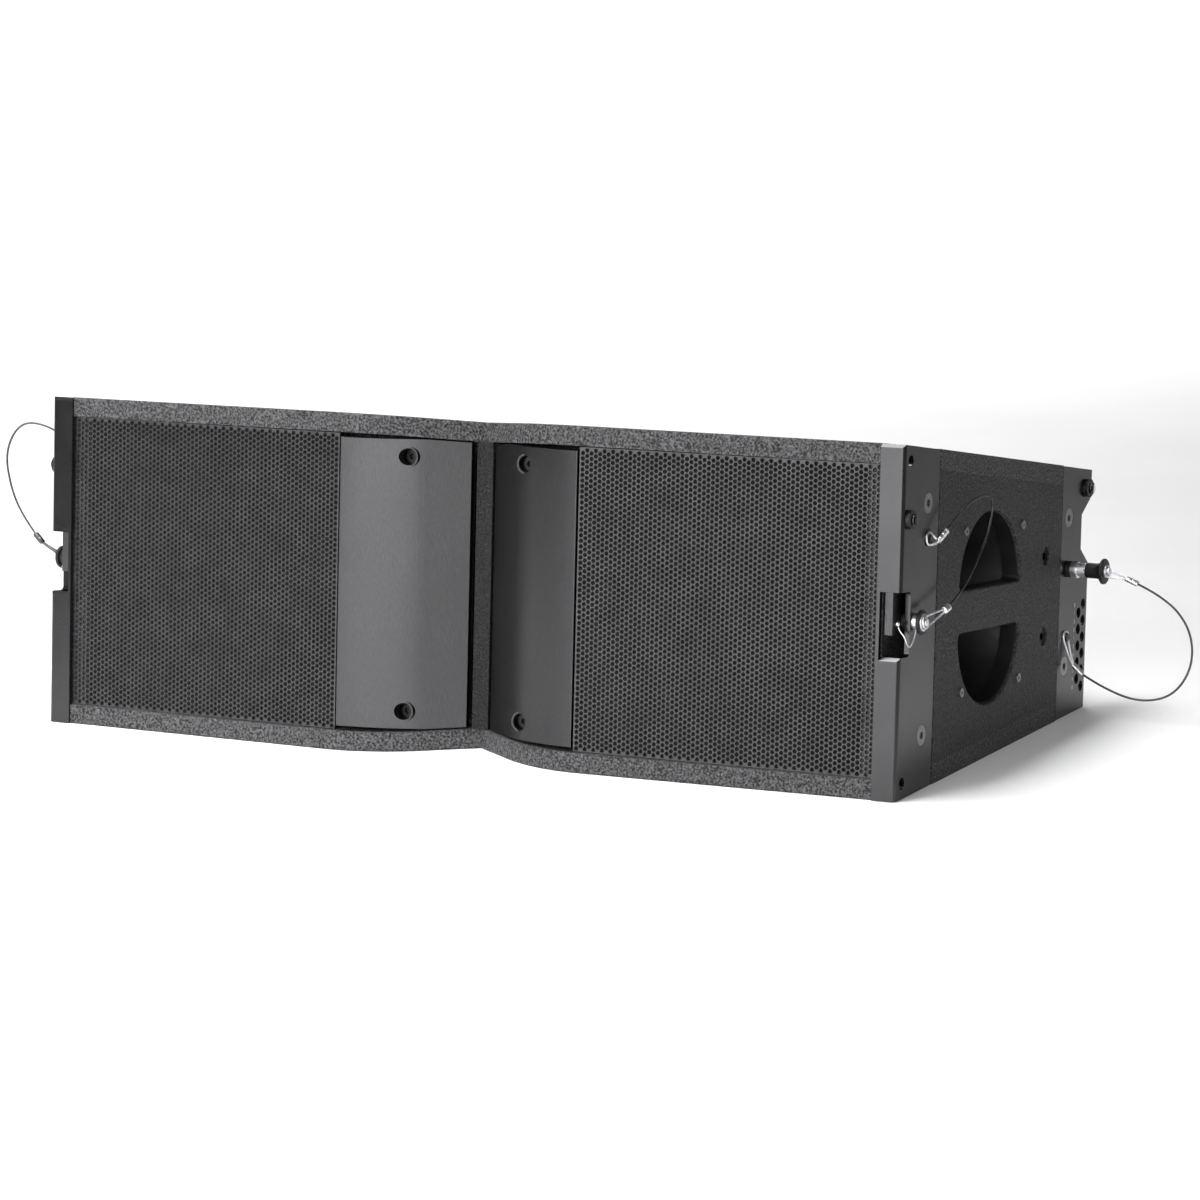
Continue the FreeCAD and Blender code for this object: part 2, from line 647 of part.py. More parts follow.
def handle_cup():
    mouth = SIDE - PLY
    floor = mouth - CUP_DEPTH
    outer = Part.makeLoft([stadium(mouth, HANDLE_R + 6), stadium(floor, HANDLE_R - 10)], True, True)
    inner = Part.makeLoft([stadium(mouth, HANDLE_R + 6 - CUP_WALL),
                           stadium(floor + CUP_WALL, HANDLE_R - 13)], True, True)
    flange = Part.Face(stadium(mouth - 3, 76)).extrude(V(3, 0, 0))
    cup = fuse([outer, flange]).cut(inner)
    holes = []
    for y, z in HANDLE_SCREWS:
        holes += up_and_down(rod("x", y, z, mouth - 10, mouth + 1, 1.9))
    return cut_all(cup, holes)


def handle_screws():
    solids = []
    for y, z in HANDLE_SCREWS:
        head = rod("x", y, z, SIDE, SIDE + 1.4, 3.4)
        head = head.cut(hexagon("x", y, z, SIDE + 0.4, SIDE + 2, 2.5))
        solids += up_and_down(fuse([head, rod("x", y, z, SIDE - PLY - 6, SIDE, 1.8)]))
    return both_sides(solids)


# ================================ woofers =======================================================
def turned(profile, x):
    """Solid of revolution about the woofer's axis from (radius, y) points."""
    points = [V(x + r, y, 0) for r, y in profile]
    face = Part.Face(Part.makePolygon(points + points[:1]))
    return face.revolve(V(x, 0, 0), V(0, 1, 0), 360)


def woofer_basket():
    flange_front = BAFFLE_Y - 5
    basket = turned([(92, flange_front), (105, flange_front), (105, BAFFLE_Y), (90.5, BAFFLE_Y),
                     (90.5, 34), (60, 84), (60, 88), (30, 88), (30, 85.5), (56, 85.5),
                     (56, 83), (87.5, 32), (87.5, 26), (92, 26)], WOOFER_X)
    windows = []
    for i in range(6):
        window = block(-17, 17, 45, 75, 40, 100)
        window.rotate(V(0, 0, 0), V(0, 1, 0), 60 * i)
        window.translate(V(WOOFER_X, 0, 0))
        windows.append(window)
    for x, z in woofer_screw_places():
        windows.append(rod("y", x, z, 20, 30, 2.4))
    return cut_all(basket, windows)


def woofer_screw_places():
    places = []
    for i in range(8):
        turn = math.radians(45 * i + 22.5)
        places.append((WOOFER_X + 99 * math.cos(turn), 99 * math.sin(turn)))
    return places


def woofer_screws():
    solids = []
    for x, z in woofer_screw_places():
        head = rod("y", x, z, 19.6, 23, 4.2).cut(hexagon("y", x, z, 19, 21.6, 4))
        solids.append(fuse([head, rod("y", x, z, 23, 40, 2.2)]))
    return both_sides(solids)


def woofer_motor():
    """Top plate, magnet ring, and back plate with its pole piece, as three solids."""
    top_plate = tube("y", WOOFER_X, 0, 88, 95, 60, 20.4)
    magnet = tube("y", WOOFER_X, 0, 95, 113, 72, 30)
    back = fuse([rod("y", WOOFER_X, 0, 113, 120, 60), rod("y", WOOFER_X, 0, 89, 113, 17.4)])
    return [top_plate, magnet, back.cut(rod("y", WOOFER_X, 0, 80, 121, 7))]


def woofer_cone():
    """Cone, dust cap and voice coil former, glued together."""
    return turned([(78, 23.5), (78, 25), (19.2, 61), (19.2, 104), (18.4, 104), (18.4, 58),
                   (24, 54.5), (23, 53), (12, 48.6), (0, 47), (0, 46), (12.4, 47.6),
                   (24.5, 52.6), (26.3, 53.5), (77, 23.5)], WOOFER_X)


def woofer_suspension():
    """Surround with its half roll, and the spider behind the cone."""
    roll = 85.0
    outer = Part.makeTorus(roll, 6.8, V(WOOFER_X, 25, 0), V(0, 1, 0))
    inner = Part.makeTorus(roll, 6.0, V(WOOFER_X, 25, 0), V(0, 1, 0))
    surround = outer.cut(inner).common(block(100, SIDE, 10, 25, -110, 110))
    foot = tube("y", WOOFER_X, 0, 24.2, 25, 91.9, 91)
    spider = tube("y", WOOFER_X, 0, 69, 70.2, 56, 19.5)
    for radius in (26, 34, 42, 50):
        spider = spider.cut(tube("y", WOOFER_X, 0, 68.5, 69.4, radius + 2, radius - 2))
    return [fuse([surround, foot]), spider]


# ================================ high frequency ================================================
def rectangle(x0, x1, y, half):
    return Part.makePolygon([V(x0, y, -half), V(x1, y, -half), V(x1, y, half), V(x0, y, half),
                             V(x0, y, -half)])


def waveguide():
    """Duct from the round driver's throat to the tall slot beside the centre post."""
    bend = 82.0
    outer = fuse([block(5.05, 13.9, 50, bend, -103, 103),
                  Part.makeLoft([rectangle(5.05, 13.9, bend, 103),
                                 rectangle(THROAT_X - 18, THROAT_X + 18, THROAT_Y, 18)], True, True)])
    inner = fuse([block(6.3, 12.4, 49, bend, -100, 100),
                  Part.makeLoft([rectangle(6.3, 12.4, bend, 100),
                                 rectangle(THROAT_X - 12, THROAT_X + 12, THROAT_Y, 12)], True, True),
                  block(THROAT_X - 12, THROAT_X + 12, THROAT_Y, THROAT_Y + 1, -12, 12)])
    return outer.cut(inner)


def compression_driver():
    x = THROAT_X
    y = THROAT_Y
    body = fuse([rod("y", x, 0, y, y + 6, 30), rod("y", x, 0, y + 6, y + 42, 42),
                 rod("y", x, 0, y + 42, y + 58, 30)])
    return body.cut(taper_rod("y", x, 0, y - 0.01, y + 20, 12.5, 8))


def crossover():
    """Board on four posts, with two coils and three capacitors, each a solid of its own."""
    front = 292.0
    board = block(-62, 62, front, front + 2, -44, 44)
    posts = []
    for x in (-55, 55):
        posts += [rod("y", x, z, front + 2, BACK_Y - PLY, 3) for z in (-38, 38)]
    coils = [tube("y", -34, 18, front - 16, front, 17, 7), tube("y", 34, -18, front - 16, front, 17, 7)]
    caps = [rod("x", front - 8, z, x, x + 34, 7.9) for x, z in ((8, 24), (8, 6), (-50, -22))]
    return [fuse([board] + posts)] + coils + caps


def input_plate():
    plate = block(-80, 80, BACK_Y, BACK_Y + 2, -42, 42)
    tools = both_sides([rod("y", 28, 0, BACK_Y - 1, BACK_Y + 3, 13)])
    for x in (-72, 72):
        tools += [rod("y", x, z, BACK_Y - 1, BACK_Y + 3, 1.9) for z in (-34, 34)]
    return cut_all(plate, tools)


def input_socket():
    """Round four-pole socket: a shell with a keyed ring round a core."""
    outside = BACK_Y + 4
    shell = fuse([rod("y", 28, 0, BACK_Y - 17, outside, 13), rod("y", 28, 0, BACK_Y + 2, outside, 17)])
    ring = tube("y", 28, 0, BACK_Y - 10, outside + 1, 10.4, 7)
    return cut_all(shell, [ring])


# ================================ nodes =========================================================
def stand(shape):
    """Turn a shape from the hanging pose to standing on the sloping bottom."""
    shape = shape.copy()
    shape.rotate(V(0, 0, 0), V(1, 0, 0), -math.degrees(TAPER))
    front = LOBE_EDGE_Y * math.cos(TAPER) - HALF * math.sin(TAPER)
    rear = DEPTH * math.cos(TAPER) + panel_z(DEPTH) * math.sin(TAPER)
    shape.translate(V(0, -(front + rear) / 2, HALF * math.cos(TAPER)))
    return shape


def save(name, solids):
    """Write one node, given as one solid or as a list of separate solids."""
    if not isinstance(solids, list):
        solids = [solids]
    parts = [stand(s) for shape in solids for s in shape.Solids]
    whole = parts[0] if len(parts) == 1 else Part.makeCompound(parts)
    if not whole.isValid() or any(s.Volume <= 0 for s in parts):
        print("CHECK", name, whole.isValid(), [round(s.Volume, 1) for s in parts])
    whole.exportStep("parts/%s.step" % name)


def save_pair(name, right):
    """Write a right-hand node and its mirror image."""
    save(name + "_right", right)
    shapes = right if isinstance(right, list) else [right]
    save(name + "_left", [mirror_x(s) for s in shapes])


def main():
    os.makedirs("parts", exist_ok=True)
    top = top_panel()
    save("top_panel", top)
    save("bottom_panel", mirror_z(top))
    save_pair("side_panel", side_panel())
    save("rear_panel", rear_panel())
    save_pair("baffle", baffle())
    save("centre_post", centre_post())
    save("internal_braces", both_sides([brace()]))
    save("damping_foam", both_sides([damping_pad()]))

    save_pair("grille", wing_sheet(GRILLE_IN, GRILLE_OUT, GRILLE_INSET, GRILLE_SHEET))
    save("grille_foam", both_sides([wing_sheet(GRILLE_IN, 337.5, GRILLE_INSET + GRILLE_SHEET, 5)]))
    save_pair("centre_plate", centre_plate())
    save("plate_screws", plate_screws())

    save_pair("front_rail", front_rail())
    save_pair("rear_plate", rear_plate())
    save("rigging_screws", rigging_screws())
    save("rigging_spacers", rigging_spacers())
    save("pin_bushes", pin_bushes())
    save("link_guides", link_guides())
    save_pair("front_link", front_link())
    save_pair("rear_arm", rear_arm())

    heads = {"front": front_pin(), "rear": rear_pin()}
    eyes = []
    ends = {}
    for name, route in ROUTES.items():
        fixed, cord, ends[name] = lanyard(name, route, heads[name.split("_")[0]][3])
        eyes.append(fixed)
        save("lanyard_" + name, cord)
    save("lanyard_anchors", eyes)
    for place, (steel, grip, button, _) in heads.items():
        for side in ("left", "right"):
            name = place + "_" + side
            turned_round = mirror_x if side == "left" else (lambda shape: shape)
            save("pin_" + name, [turned_round(steel)] + ([ends[name]] if name in ends else []))
            save("pin_grip_" + name, turned_round(grip))
            save("pin_button_" + name, turned_round(button))

    save_pair("handle_cup", handle_cup())
    save("handle_screws", handle_screws())

    save("woofer_baskets", both_sides([woofer_basket()]))
    save("woofer_motors", both_sides(woofer_motor()))
    save_pair("cone", woofer_cone())
    save_pair("suspension", woofer_suspension())
    save("woofer_screws", woofer_screws())
    save("waveguides", both_sides([waveguide()]))
    save("compression_drivers", both_sides([compression_driver()]))
    save("crossover", crossover())
    save("input_plate", input_plate())
    save("input_sockets", both_sides([input_socket()]))


main()
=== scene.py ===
"""Looks of the line array speaker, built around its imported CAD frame.

Lengths are millimetres in the cabinet's upright frame: x to the right, y to the rear, z up from
mid height, with the rails' faces at y = 0. put() turns such a point into the row frame, where
the cabinet stands on its sloping underside.
"""
import json
import math

import bmesh
import bpy
from mathutils import Matrix, Vector


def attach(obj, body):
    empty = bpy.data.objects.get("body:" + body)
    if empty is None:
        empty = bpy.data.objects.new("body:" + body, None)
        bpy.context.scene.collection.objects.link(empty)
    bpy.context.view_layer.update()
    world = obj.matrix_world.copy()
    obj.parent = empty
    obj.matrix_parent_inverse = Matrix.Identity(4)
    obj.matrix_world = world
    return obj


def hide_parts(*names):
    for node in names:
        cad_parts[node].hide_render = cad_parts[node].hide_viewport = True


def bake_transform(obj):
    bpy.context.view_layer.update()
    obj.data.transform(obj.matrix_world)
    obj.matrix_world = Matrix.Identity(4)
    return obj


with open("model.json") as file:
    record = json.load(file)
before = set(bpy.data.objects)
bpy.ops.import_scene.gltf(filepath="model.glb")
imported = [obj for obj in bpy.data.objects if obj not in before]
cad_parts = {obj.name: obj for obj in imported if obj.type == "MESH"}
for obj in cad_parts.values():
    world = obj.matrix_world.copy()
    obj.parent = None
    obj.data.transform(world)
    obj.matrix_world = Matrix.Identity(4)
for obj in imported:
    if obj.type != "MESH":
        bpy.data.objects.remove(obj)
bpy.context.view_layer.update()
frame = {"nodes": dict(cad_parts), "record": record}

# ------------------------------ the upright frame ------------------------------
MM = 0.001
TAPER = math.radians(5.85)
TILT = Matrix.Rotation(-TAPER, 4, "X")
SOCKET = Vector((369.0, 10.5, 75.0))       # the mount front_socket_right, upright
SIDE = 370.0                               # outside of the rails and rear plates
MOUNTS = {m["name"]: m for m in frame["record"]["mounts"]}
ORIGIN = Vector(MOUNTS["front_socket_right"]["pos_m"]) - TILT @ (SOCKET * MM)
TO_ROW = Matrix.Translation(ORIGIN) @ TILT @ Matrix.Scale(MM, 4)
TO_UPRIGHT = TO_ROW.inverted()
SIDES = {"right": 1, "left": -1}
SIDE_BOLT_Y = 0.0925                       # mean depth of the recessed side bolts, row frame


def put(x, y, z):
    return TO_ROW @ Vector((x, y, z))


def upright_box(node):
    """Lowest and highest corners of a CAD node in the upright frame, in millimetres."""
    points = [TO_UPRIGHT @ v.co for v in frame["nodes"][node].data.vertices]
    return (Vector([min(p[i] for p in points) for i in range(3)]),
            Vector([max(p[i] for p in points) for i in range(3)]))


# ------------------------------ camera ------------------------------
def make_camera():
    data = bpy.data.cameras.new("camera")
    data.sensor_width = 36.0
    data.lens = 140.05
    data.clip_end = 50.0
    turn = (Matrix.Rotation(math.radians(28.108), 4, "Z")
            @ Matrix.Rotation(math.radians(90 - 5.662), 4, "X")
            @ Matrix.Rotation(math.radians(1.36), 4, "Z"))
    camera = bpy.data.objects.new("camera", data)
    bpy.context.scene.collection.objects.link(camera)
    camera.matrix_world = Matrix.Translation(put(1753.6, -3049.2, 343.8)) @ TILT @ turn
    bpy.context.scene.camera = camera


make_camera()


# ------------------------------ materials ------------------------------
class Paint:
    """A node material: the methods add texture nodes and join them to its one shader."""

    def __init__(self, name, colour, roughness, metallic=0.0, **sockets):
        self.material = bpy.data.materials.new(name)
        self.material.use_nodes = True
        self.nodes = self.material.node_tree.nodes
        self.links = self.material.node_tree.links
        self.shader = self.nodes["Principled BSDF"]
        self.shader.inputs["Base Color"].default_value = (*colour, 1)
        self.shader.inputs["Roughness"].default_value = roughness
        self.shader.inputs["Metallic"].default_value = metallic
        for socket, value in sockets.items():
            self.shader.inputs[socket.replace("_", " ")].default_value = value
        self.place = self.nodes.new("ShaderNodeTexCoord").outputs["Object"]

    def stretched(self, scale):
        node = self.nodes.new("ShaderNodeMapping")
        node.inputs["Scale"].default_value = scale
        self.links.new(self.place, node.inputs["Vector"])
        return node.outputs["Vector"]

    def noise(self, scale, detail=3.0, at=None):
        node = self.nodes.new("ShaderNodeTexNoise")
        node.inputs["Scale"].default_value = scale
        node.inputs["Detail"].default_value = detail
        self.links.new(at or self.place, node.inputs["Vector"])
        return node.outputs["Fac"]

    def cells(self, scale, at=None):
        node = self.nodes.new("ShaderNodeTexVoronoi")
        node.feature = "SMOOTH_F1"
        node.inputs["Scale"].default_value = scale
        self.links.new(at or self.place, node.inputs["Vector"])
        return node.outputs["Distance"]

    def spread(self, value, low, high, to_low, to_high):
        """Value from low..high mapped onto to_low..to_high."""
        node = self.nodes.new("ShaderNodeMapRange")
        for socket, number in (("From Min", low), ("From Max", high),
                               ("To Min", to_low), ("To Max", to_high)):
            node.inputs[socket].default_value = number
        self.links.new(value, node.inputs["Value"])
        return node.outputs["Result"]

    def colours(self, value, low, high, dark, light):
        node = self.nodes.new("ShaderNodeValToRGB")
        node.color_ramp.elements[0].position = low
        node.color_ramp.elements[1].position = high
        node.color_ramp.elements[0].color = (*dark, 1)
        node.color_ramp.elements[1].color = (*light, 1)
        self.links.new(value, node.inputs["Fac"])
        self.links.new(node.outputs["Color"], self.shader.inputs["Base Color"])

    def rough(self, value, low, high, to_low, to_high):
        self.links.new(self.spread(value, low, high, to_low, to_high),
                       self.shader.inputs["Roughness"])

    def bump(self, height, distance, strength=1.0):
        node = self.nodes.new("ShaderNodeBump")
        node.inputs["Distance"].default_value = distance
        node.inputs["Strength"].default_value = strength
        self.links.new(height, node.inputs["Height"])
        before = self.shader.inputs["Normal"]
        if before.is_linked:
            self.links.new(before.links[0].from_socket, node.inputs["Normal"])
        self.links.new(node.outputs["Normal"], before)


def grey(value):
    return (value, value, value * 1.03)


def textured_paint(name, light, relief=1.0):
    """Hard-wearing black paint sprayed on plywood: close round lumps about two millimetres wide."""
    paint = Paint(name, grey(0.05), 0.5, Specular_IOR_Level=0.14)
    # The light specks are partly the paint's own grain and partly painted sparkle highlights on the
    # lumps; light sets their tone.
    grain = paint.noise(600.0, 3.0)
    paint.colours(grain, 0.38, 0.68, grey(0.012), grey(light))
    paint.rough(paint.noise(300.0), 0.3, 0.7, 0.38, 0.58)
    paint.bump(paint.cells(560.0), 0.0012 * relief, 0.8)
    paint.bump(grain, 0.0013 * relief)
    return paint.material


def satin_plate():
    """Black anodised sheet, brushed up and down."""
    paint = Paint("satin_plate", grey(0.07), 0.36, 1.0)
    grain = paint.noise(1.0, 2.0, paint.stretched((2600.0, 2600.0, 16.0)))
    paint.colours(grain, 0.25, 0.75, grey(0.048), grey(0.066))
    paint.rough(paint.noise(14.0), 0.3, 0.7, 0.33, 0.4)
    paint.bump(grain, 0.00003, 0.6)
    return paint.material


def rail_steel():
    """Satin powder coat over steel, slightly orange-peeled and rubbed."""
    paint = Paint("rail_steel", grey(0.07), 0.34, 0.9)
    peel = paint.noise(420.0, 2.0)
    paint.colours(paint.noise(30.0, 3.0), 0.3, 0.7, grey(0.045), grey(0.054))
    paint.rough(paint.noise(60.0, 3.0), 0.3, 0.7, 0.19, 0.24)
    paint.bump(peel, 0.00006, 0.4)
    return paint.material


def grille_steel():
    paint = Paint("grille_steel", grey(0.09), 0.45, 0.4)
    paint.colours(paint.noise(60.0, 4.0), 0.3, 0.7, grey(0.037), grey(0.06))
    paint.rough(paint.noise(240.0), 0.3, 0.7, 0.34, 0.46)
    paint.bump(paint.noise(1500.0, 2.0), 0.00006, 0.5)
    return paint.material


def bright_metal(name, value, low, high, grain):
    """Turned or drawn metal with fine marks; low and high are the limits of its roughness."""
    paint = Paint(name, grey(value), low, 1.0)
    marks = paint.noise(grain, 4.0)
    paint.colours(marks, 0.25, 0.75, grey(value * 0.8), grey(min(1.0, value * 1.12)))
    paint.rough(paint.noise(grain * 0.4, 3.0), 0.3, 0.7, low, high)
    paint.bump(marks, 0.00003, 0.5)
    return paint.material


def rigging_screw():
    """Grey plated heads, except for the recessed side bolts, which are black."""
    paint = Paint("screw_zinc", grey(0.24), 0.4, 1.0)
    split = paint.nodes.new("ShaderNodeSeparateXYZ")
    paint.links.new(paint.place, split.inputs["Vector"])
    bolt = paint.nodes.new("ShaderNodeMath")
    bolt.operation = "COMPARE"
    bolt.inputs[1].default_value = SIDE_BOLT_Y
    bolt.inputs[2].default_value = 0.02
    paint.links.new(split.outputs["Y"], bolt.inputs[0])
    paint.colours(bolt.outputs["Value"], 0.2, 0.8, grey(0.24), grey(0.012))
    marks = paint.noise(900.0, 4.0)
    paint.rough(marks, 0.3, 0.7, 0.32, 0.5)
    paint.bump(marks, 0.00003, 0.5)
    return paint.material


def moulded(name, value, low, high, grain=1400.0):
    """Moulded plastic or rubber with a fine spark-eroded grain."""
    paint = Paint(name, grey(value), low, Specular_IOR_Level=0.3)
    paint.colours(paint.noise(80.0, 4.0), 0.3, 0.7, grey(value * 0.8), grey(value * 1.3))
    paint.rough(paint.noise(200.0), 0.3, 0.7, low, high)
    paint.bump(paint.noise(grain, 2.0), 0.00008, 0.5)
    return paint.material


def foam():
    paint = Paint("foam", grey(0.008), 0.95, Specular_IOR_Level=0.1)
    cells = paint.cells(1100.0)
    paint.colours(cells, 0.1, 0.6, grey(0.003), grey(0.012))
    paint.bump(cells, 0.0008, 1.0)
    return paint.material


def cone_paper():
    paint = Paint("cone_paper", grey(0.03), 0.7)
    fibres = paint.noise(500.0, 6.0)
    paint.colours(fibres, 0.3, 0.7, grey(0.02), grey(0.045))
    paint.bump(fibres, 0.0003, 0.6)
    return paint.material


def board():
    paint = Paint("board", (0.02, 0.1, 0.05), 0.35)
    paint.colours(paint.noise(150.0, 2.0), 0.45, 0.55, (0.015, 0.08, 0.035), (0.03, 0.14, 0.06))
    paint.bump(paint.noise(400.0), 0.0001, 0.4)
    return paint.material


def white_print():
    paint = Paint("white_print", grey(0.7), 0.6)
    paint.colours(paint.noise(700.0), 0.3, 0.6, grey(0.35), grey(0.75))
    return paint.material


MATERIALS = {
    "textured_paint": textured_paint("textured_paint", 0.125),
    # Darker copies of the same paint for the side panels and the centre post: painted shade.
    "shaded_side_paint": textured_paint("shaded_side_paint", 0.068, 0.6),
    "shaded_post_paint": textured_paint("shaded_post_paint", 0.022),
    "grille_steel": grille_steel(),
    "satin_plate": satin_plate(),
    "rail_steel": rail_steel(),
    "bare_steel": bright_metal("bare_steel", 0.85, 0.26, 0.4, 900.0),
    # Darker copy of bright steel for the left front pin: painted shade.
    "shade_darkened_steel": bright_metal("shade_darkened_steel", 0.06, 0.3, 0.45, 900.0),
    "link_steel": bright_metal("link_steel", 0.07, 0.34, 0.46, 500.0),
    "screw_zinc": rigging_screw(),
    "screw_black": bright_metal("screw_black", 0.03, 0.3, 0.45, 900.0),
    "black_plastic": moulded("black_plastic", 0.009, 0.34, 0.54),
    "foam": foam(),
    "wire": bright_metal("wire", 0.1, 0.25, 0.4, 1500.0),
    "cone_paper": cone_paper(),
    "rubber": moulded("rubber", 0.02, 0.55, 0.75),
    "cast_frame": bright_metal("cast_frame", 0.12, 0.45, 0.6, 300.0),
    "magnet": moulded("magnet", 0.05, 0.5, 0.7, 500.0),
    "board": board(),
    "white_print": white_print(),
}


# Looks that differ from the one of the record's material. The side panels and the centre post take darker
# copies of the textured paint: painted shade.
NODE_LOOKS = {"centre_post": "shaded_post_paint", "handle_screws": "screw_zinc",
              "side_panel_left": "shaded_side_paint", "side_panel_right": "shaded_side_paint"}


def paint_cad_nodes():
    for part in frame["record"]["subparts"]:
        node = frame["nodes"][part["node"]]
        node.data.materials.clear()
        look = NODE_LOOKS.get(part["node"], part["material_slot"])
        node.data.materials.append(MATERIALS[look])


paint_cad_nodes()


# ------------------------------ making pieces ------------------------------
def add_piece(name, mesh, look, body=None, replaces=(), smooth=0):
    """A mesh already in the row frame. smooth is the angle, in degrees, that shades smoothly."""
    piece = bpy.data.objects.new(name, mesh)
    bpy.context.scene.collection.objects.link(piece)
    mesh.materials.append(MATERIALS[look])
    if smooth:
        mesh.shade_smooth()
        mesh.set_sharp_from_angle(angle=math.radians(smooth))
    if body:
        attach(piece, body)
    if replaces:
        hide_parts(*replaces)
    return piece


def mesh_from(name, verts, faces):
    mesh = bpy.data.meshes.new(name)
    mesh.from_pydata(verts, [], faces)
    build = bmesh.new()
    build.from_mesh(mesh)
    bmesh.ops.recalc_face_normals(build, faces=build.faces)
    build.to_mesh(mesh)
    build.free()
    return mesh


LATHE_FACES = 48


def lathe(rings, centre, side, faces_round=LATHE_FACES, wave=None):
    """Verts and faces of a body turned about the x axis through centre (y, z).

    rings are (x, radius), from one end to the other. wave(x, turn) scales the radius."""
    verts, faces = [], []
    for x, radius in rings:
        for k in range(faces_round):
            turn = math.tau * k / faces_round
            r = radius * (wave(x, turn) if wave else 1.0)
            verts.append(put(side * x, centre[0] + r * math.cos(turn), centre[1] + r * math.sin(turn)))
    for j in range(len(rings) - 1):
        for k in range(faces_round):
            a, b = j * faces_round + k, j * faces_round + (k + 1) % faces_round
            faces.append([a, b, b + faces_round, a + faces_round])
    for j in (0, len(rings) - 1):
        faces.append([j * faces_round + k for k in range(faces_round)])
    return verts, faces


def close_ring(faces, rings, faces_round):
    """The faces of a lathed ring: its two end discs give way to a wall round the bore."""
    last = (rings - 1) * faces_round
    return faces[:-2] + [[k, (k + 1) % faces_round, last + (k + 1) % faces_round, last + k]
                         for k in range(faces_round)]


def rounded(points, radius=0.5, steps=3):
    """(x, radius) profile with each inner corner cut by a short arc."""
    out = [points[0]]
    for before, corner, after in zip(points, points[1:], points[2:]):
        p, c, n = Vector(before), Vector(corner), Vector(after)
        reach = min(radius, (p - c).length * 0.45, (n - c).length * 0.45)
        start, end = c + (p - c).normalized() * reach, c + (n - c).normalized() * reach
        for i in range(steps + 1):
            t = i / steps
            out.append(tuple(start * (1 - t) ** 2 + c * 2 * t * (1 - t) + end * t * t))
    return out + [points[-1]]


# ------------------------------ wire lanyards ------------------------------
WIRE_R = 0.9
STRANDS = 6
LAY_PITCH = 9.0
FERRULE_R = 2.3
EYE_R = 4.6
ANCHOR_FRONT = (44.6, 59.0)
ANCHOR_REAR = (310.2, -35.0)
FRONT_PIN = (25.0, 0.0)
REAR_PIN = (313.5, 18.0)
PARKING_SOCKETS = {"front": (10.5, 75.0), "rear": (345.5, 79.5)}
FRONT_HEAD = 378.0         # 1.8 mm short of the CAD head
REAR_HEAD = 401.0

# Each route is the list of points given in the part's source, as x out from the middle,
# y and z; fixed and free are the outer ends of its two ferrules, and length is the tube's.
ROUTES = {
    "front_left": {
        "anchor": ANCHOR_FRONT, "pin": FRONT_PIN, "head": FRONT_HEAD, "length": 0.158,
        "fixed": (374, 45.5, 66), "free": (397, 27, 10),
        "points": [(378, 47, 77), (383, 46, 88), (399, 39, 103), (424, 33, 106), (437, 30, 81),
                   (430, 30, 50), (417, 29, 29), (404.5, 28, 16.5)]},
    "front_right": {
        "anchor": ANCHOR_FRONT, "pin": FRONT_PIN, "head": FRONT_HEAD, "length": 0.193,
        "fixed": (375, 51, 57), "free": (384, 46, 7.5),
        "points": [(378, 60, 65), (381, 82, 80), (382, 112, 88), (382, 135, 85), (381, 132, 62),
                   (380, 112, 38), (381, 84, 18), (383, 56, 9.5)]},
    "rear_right": {
        "anchor": ANCHOR_REAR, "pin": REAR_PIN, "head": REAR_HEAD, "length": 0.188,
        "fixed": (376, 313.5, -56), "free": (417, 316, 13.5),
        "points": [(383.4, 317, -64), (403, 319, -75), (432, 320, -82.5), (459, 320, -75),
                   (473.5, 320, -50), (470, 320, -22), (450, 319, 0), (427, 317, 9.5)]},
}


def smooth_line(points, resolution=24):
    """Points in the row frame along the NURBS spline that has these control points."""
    curve = bpy.data.curves.new("line", "CURVE")
    curve.dimensions = "3D"
    spline = curve.splines.new("NURBS")
    spline.points.add(len(points) - 1)
    for target, point in zip(spline.points, points):
        target.co = (*point, 1.0)
    spline.order_u = 3
    spline.use_endpoint_u = True
    spline.resolution_u = resolution
    holder = bpy.data.objects.new("line", curve)
    bpy.context.scene.collection.objects.link(holder)
    bpy.context.view_layer.update()
    mesh = bpy.data.meshes.new_from_object(holder)
    line = [v.co.copy() for v in mesh.vertices]
    bpy.data.objects.remove(holder)
    bpy.data.meshes.remove(mesh)
    return line


def evenly(line, step):
    """The same line with its points about step apart."""
    lengths = [0.0]
    for a, b in zip(line, line[1:]):
        lengths.append(lengths[-1] + (b - a).length)
    count = max(2, round(lengths[-1] / step))
    out, j = [], 0
    for i in range(count + 1):
        at = lengths[-1] * i / count
        while j < len(line) - 2 and lengths[j + 1] < at:
            j += 1
        share = (at - lengths[j]) / max(1e-12, lengths[j + 1] - lengths[j])
        out.append(line[j].lerp(line[j + 1], min(1.0, max(0.0, share))))
    return out


def frames_along(line):
    """Two unit vectors square to the line at each point, carried along without twist."""
    tangents = [(line[min(i + 1, len(line) - 1)] - line[max(i - 1, 0)]).normalized()
                for i in range(len(line))]
    side = tangents[0].orthogonal().normalized()
    pairs = []
    for tangent in tangents:
        side = (side - tangent * side.dot(tangent)).normalized()
        pairs.append((side, tangent.cross(side)))
    return pairs


def sweep(line, radius, pairs, faces_round=6, start=0):
    verts, faces = [], []
    for point, (u, v) in zip(line, pairs):
        for k in range(faces_round):
            turn = math.tau * k / faces_round
            verts.append(point + (u * math.cos(turn) + v * math.sin(turn)) * radius)
    for j in range(len(line) - 1):
        for k in range(faces_round):
            a, b = j * faces_round + k, j * faces_round + (k + 1) % faces_round
            faces.append([start + i for i in (a, b, b + faces_round, a + faces_round)])
    for j in (0, len(line) - 1):
        faces.append([start + j * faces_round + k for k in range(faces_round)])
    return verts, faces


